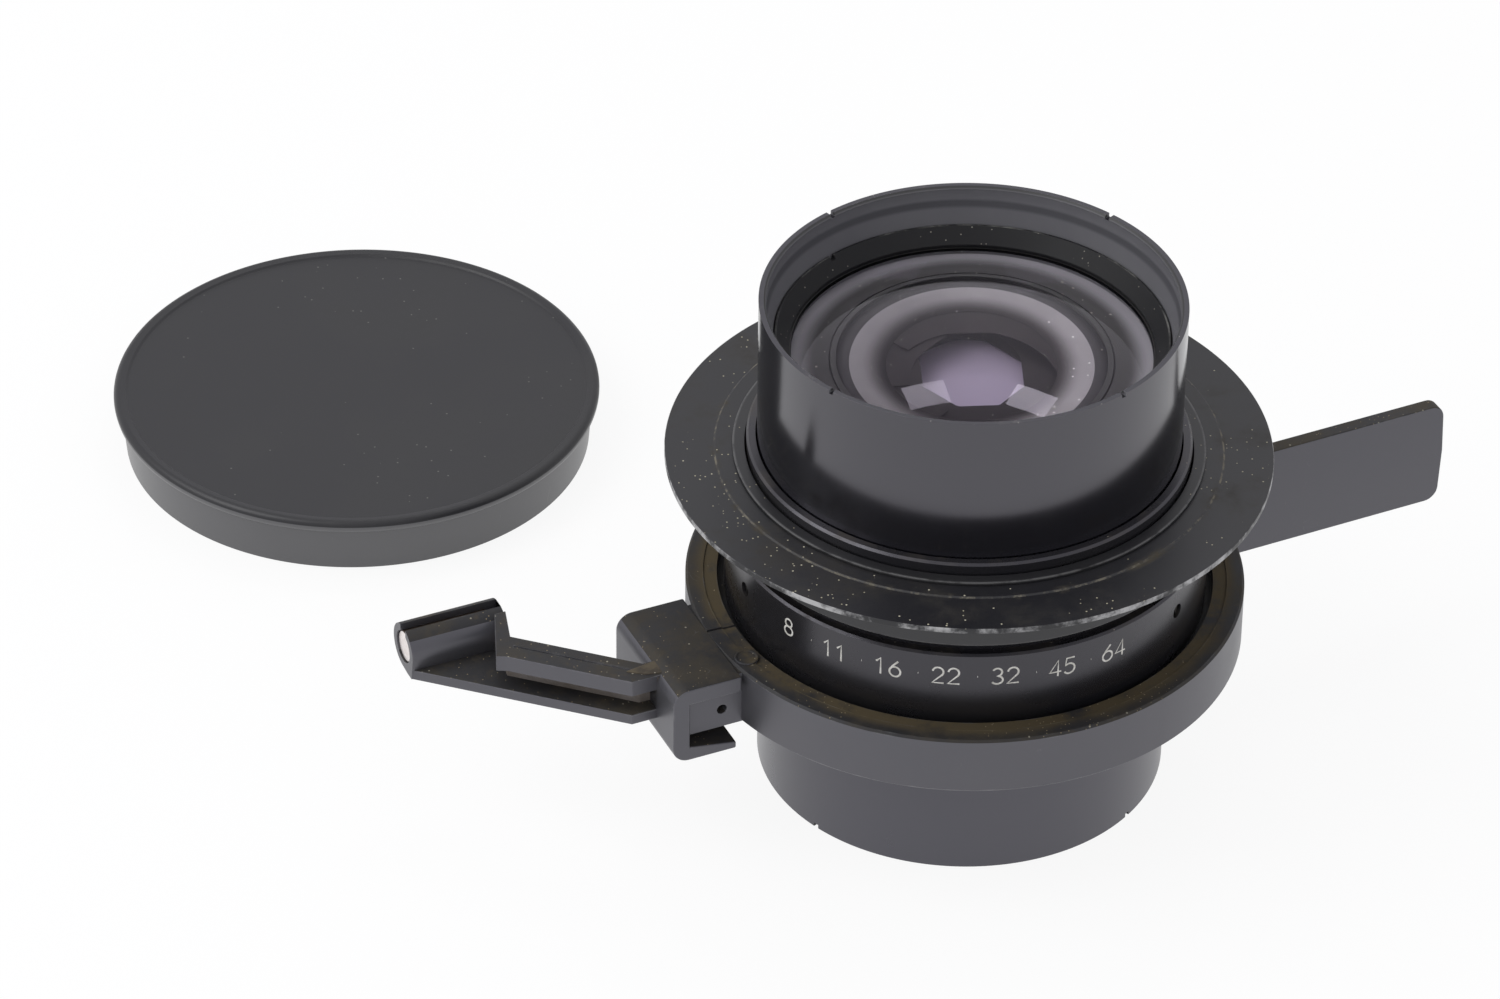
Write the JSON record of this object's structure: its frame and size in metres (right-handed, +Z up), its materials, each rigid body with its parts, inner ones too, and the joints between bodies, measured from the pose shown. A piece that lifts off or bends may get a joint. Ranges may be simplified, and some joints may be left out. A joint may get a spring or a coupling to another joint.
{
  "type": "enlarger lens",
  "caption": "Large darkroom lens in a black barrel mount with a wide mounting flange, a moulded lever ring that works the iris, and its slip-on cap set down beside it.",
  "frame": {"origin": "centre of the footprint of the lens, its lever and its cap together, on the surface that they stand on", "axes": "+Z up along the lens axis, from the rear rim to the front rim; +X to the right, towards the lever's handle; +Y away from the viewer, towards the cap"},
  "size_m": [0.309, 0.2348, 0.1185],
  "materials": {
    "body_black": "satin black anodised",
    "flange_black": "satin black anodised, worn bright at the edge",
    "barrel_gloss": "gloss black anodised",
    "rear_black": "satin blue-black anodised",
    "inner_matt": "matt black",
    "coated_glass": "polished, faint violet coating",
    "cam_brass": "turned, dull",
    "screw_steel": "oiled steel",
    "lever_plastic": "moulded, satin, scuffed",
    "rod_metal": "ground end",
    "blade_steel": "blued, satin",
    "cap_plastic": "moulded, fine satin"
  },
  "bodies": {
    "lens": {"main_body": "body_black", "adapter_ring": "body_black", "mounting_flange": "flange_black", "flange_nut": "flange_black", "front_barrel": "barrel_gloss", "front_retaining_ring": "inner_matt", "front_cell": "inner_matt", "inner_retaining_ring": "inner_matt", "iris_base_plate": "inner_matt", "keeper_ring": "body_black", "rear_barrel": "rear_black", "rear_retaining_ring": "inner_matt", "relay_retaining_ring": "inner_matt", "front_glass": "coated_glass", "inner_glass": "coated_glass", "relay_glass": "coated_glass", "rear_glass": "coated_glass", "grub_screw_left": "screw_steel", "grub_screw_right": "screw_steel", "grub_screw_back": "screw_steel"},
    "lever": {"lever_ring": "lever_plastic", "lever_rod": "rod_metal", "drive_screw": "screw_steel", "iris_cam_sleeve": "cam_brass"},
    "blade_1": {"iris_blade_1": "blade_steel"},
    "blade_2": {"iris_blade_2": "blade_steel"},
    "blade_3": {"iris_blade_3": "blade_steel"},
    "blade_4": {"iris_blade_4": "blade_steel"},
    "blade_5": {"iris_blade_5": "blade_steel"},
    "blade_6": {"iris_blade_6": "blade_steel"},
    "blade_7": {"iris_blade_7": "blade_steel"},
    "blade_8": {"iris_blade_8": "blade_steel"},
    "cap": {"lens_cap": "cap_plastic"}
  },
  "joints": [
    {"name": "lever_turn", "type": "hinge", "parent": "lens", "child": "lever", "pos_m": [0.04725, -0.05137, 0.04], "axis": [0, 0, 1], "range_deg": [-5, 32]},
    {"name": "blade_swing_1", "type": "hinge", "parent": "lens", "child": "blade_1", "pos_m": [0.08025, -0.05137, 0.0947], "axis": [0, 0, 1], "range_deg": [-2.5, 16]},
    {"name": "blade_swing_2", "type": "hinge", "parent": "lens", "child": "blade_2", "pos_m": [0.07058, -0.02804, 0.0942], "axis": [0, 0, 1], "range_deg": [-2.5, 16]},
    {"name": "blade_swing_3", "type": "hinge", "parent": "lens", "child": "blade_3", "pos_m": [0.04725, -0.01837, 0.0937], "axis": [0, 0, 1], "range_deg": [-2.5, 16]},
    {"name": "blade_swing_4", "type": "hinge", "parent": "lens", "child": "blade_4", "pos_m": [0.02391, -0.02804, 0.0932], "axis": [0, 0, 1], "range_deg": [-2.5, 16]},
    {"name": "blade_swing_5", "type": "hinge", "parent": "lens", "child": "blade_5", "pos_m": [0.01425, -0.05137, 0.0927], "axis": [0, 0, 1], "range_deg": [-2.5, 16]},
    {"name": "blade_swing_6", "type": "hinge", "parent": "lens", "child": "blade_6", "pos_m": [0.02391, -0.07471, 0.0922], "axis": [0, 0, 1], "range_deg": [-2.5, 16]},
    {"name": "blade_swing_7", "type": "hinge", "parent": "lens", "child": "blade_7", "pos_m": [0.04725, -0.08437, 0.0917], "axis": [0, 0, 1], "range_deg": [-2.5, 16]},
    {"name": "blade_swing_8", "type": "hinge", "parent": "lens", "child": "blade_8", "pos_m": [0.07058, -0.07471, 0.0912], "axis": [0, 0, 1], "range_deg": [-2.5, 16]},
    {"name": "cap_lift", "type": "slide", "parent": "lens", "child": "cap", "axis": [0, 0, 1], "range_m": [0, 0.12]}
  ],
  "couplings": [
    {"joint": "blade_swing_1", "follows": "lever_turn", "ratio": 0.5},
    {"joint": "blade_swing_2", "follows": "lever_turn", "ratio": 0.5},
    {"joint": "blade_swing_3", "follows": "lever_turn", "ratio": 0.5},
    {"joint": "blade_swing_4", "follows": "lever_turn", "ratio": 0.5},
    {"joint": "blade_swing_5", "follows": "lever_turn", "ratio": 0.5},
    {"joint": "blade_swing_6", "follows": "lever_turn", "ratio": 0.5},
    {"joint": "blade_swing_7", "follows": "lever_turn", "ratio": 0.5},
    {"joint": "blade_swing_8", "follows": "lever_turn", "ratio": 0.5}
  ]
}
